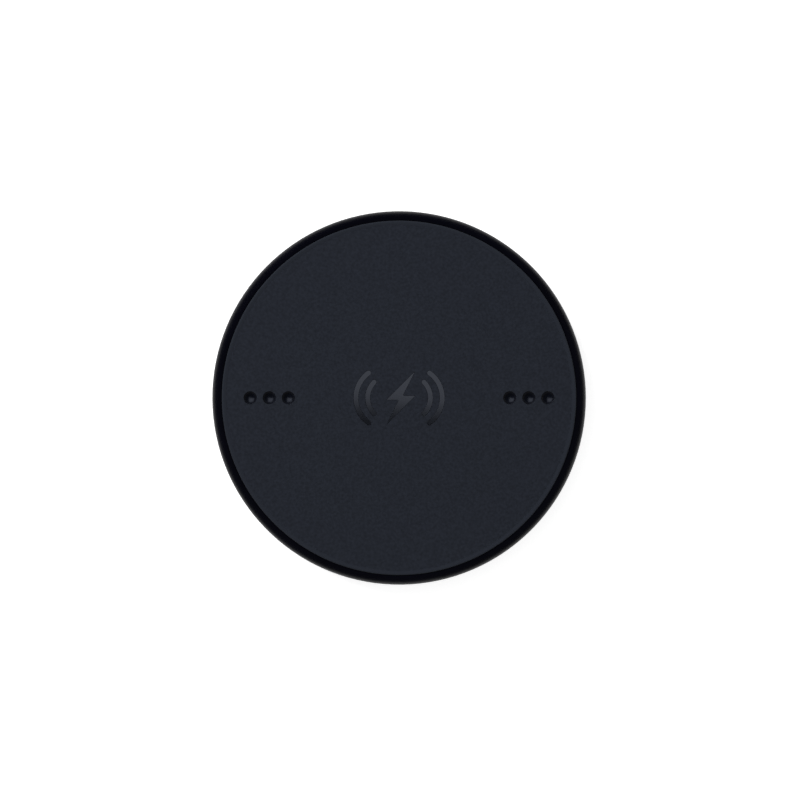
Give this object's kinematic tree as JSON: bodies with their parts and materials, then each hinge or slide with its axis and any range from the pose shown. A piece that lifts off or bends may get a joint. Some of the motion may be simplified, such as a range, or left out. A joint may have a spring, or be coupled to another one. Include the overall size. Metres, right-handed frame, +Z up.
{
  "type": "wireless charging pad",
  "caption": "Round black wireless charging pad with a soft dark grey mat, a glossy charging symbol, small dimples and a USB-C socket in its edge",
  "frame": {"origin": "centre of the pad on the plane that it rests on", "axes": "+Z up, out of the charging face; +Y towards the USB-C socket"},
  "size_m": [0.1, 0.1, 0.0102],
  "materials": {
    "mat": "soft matt dark grey with a fine grain",
    "symbol": "glossy dark grey inlay",
    "adhesive": "translucent double-sided tape",
    "housing": "satin black moulded plastic",
    "screws": "zinc-plated steel",
    "foot": "matt black rubber",
    "label": "blank satin film",
    "bezel": "matt black plastic",
    "light_pipe": "frosted translucent polycarbonate",
    "socket_steel": "nickel-plated steel",
    "socket_insulator": "black glass-filled nylon",
    "contacts": "gold-plated contact strip",
    "circuit_board": "green solder mask",
    "chips": "black moulding compound",
    "capacitors": "tan ceramic",
    "inductor": "pressed iron powder",
    "leds": "pale yellow lens",
    "thermal_pad": "soft blue gap filler",
    "ballast": "zinc-plated steel sheet",
    "tray": "dark grey moulded plastic",
    "heat_spreader": "mill-finish sheet",
    "ferrite": "dark grey ferrite",
    "copper": "enamelled copper litz",
    "sensor": "blue epoxy bead"
  },
  "bodies": {
    "root": {"top_mat": "mat", "charging_symbol": "symbol", "mat_tape": "adhesive", "foot_tape": "adhesive", "ballast_tape": "adhesive", "coil_tape": "adhesive", "top_shell": "housing", "bottom_shell": "housing", "case_screws": "screws", "board_screws": "screws", "foot_ring": "foot", "rating_label": "label", "port_bezel": "bezel", "light_pipe": "light_pipe", "usb_shell": "socket_steel", "usb_tongue": "socket_insulator", "usb_contacts": "contacts", "main_board": "circuit_board", "controller_chip": "chips", "bridge_mosfets": "chips", "buck_regulator": "chips", "protocol_chip": "chips", "chip_resistors": "chips", "resonance_capacitors": "capacitors", "bulk_capacitors": "capacitors", "power_inductor": "inductor", "status_leds": "leds", "thermal_pad": "thermal_pad", "ballast_plate": "ballast", "coil_tray": "tray", "heat_spreader": "heat_spreader", "ferrite_disc": "ferrite", "tx_coil": "copper", "thermistor": "sensor"}
  },
  "joints": []
}
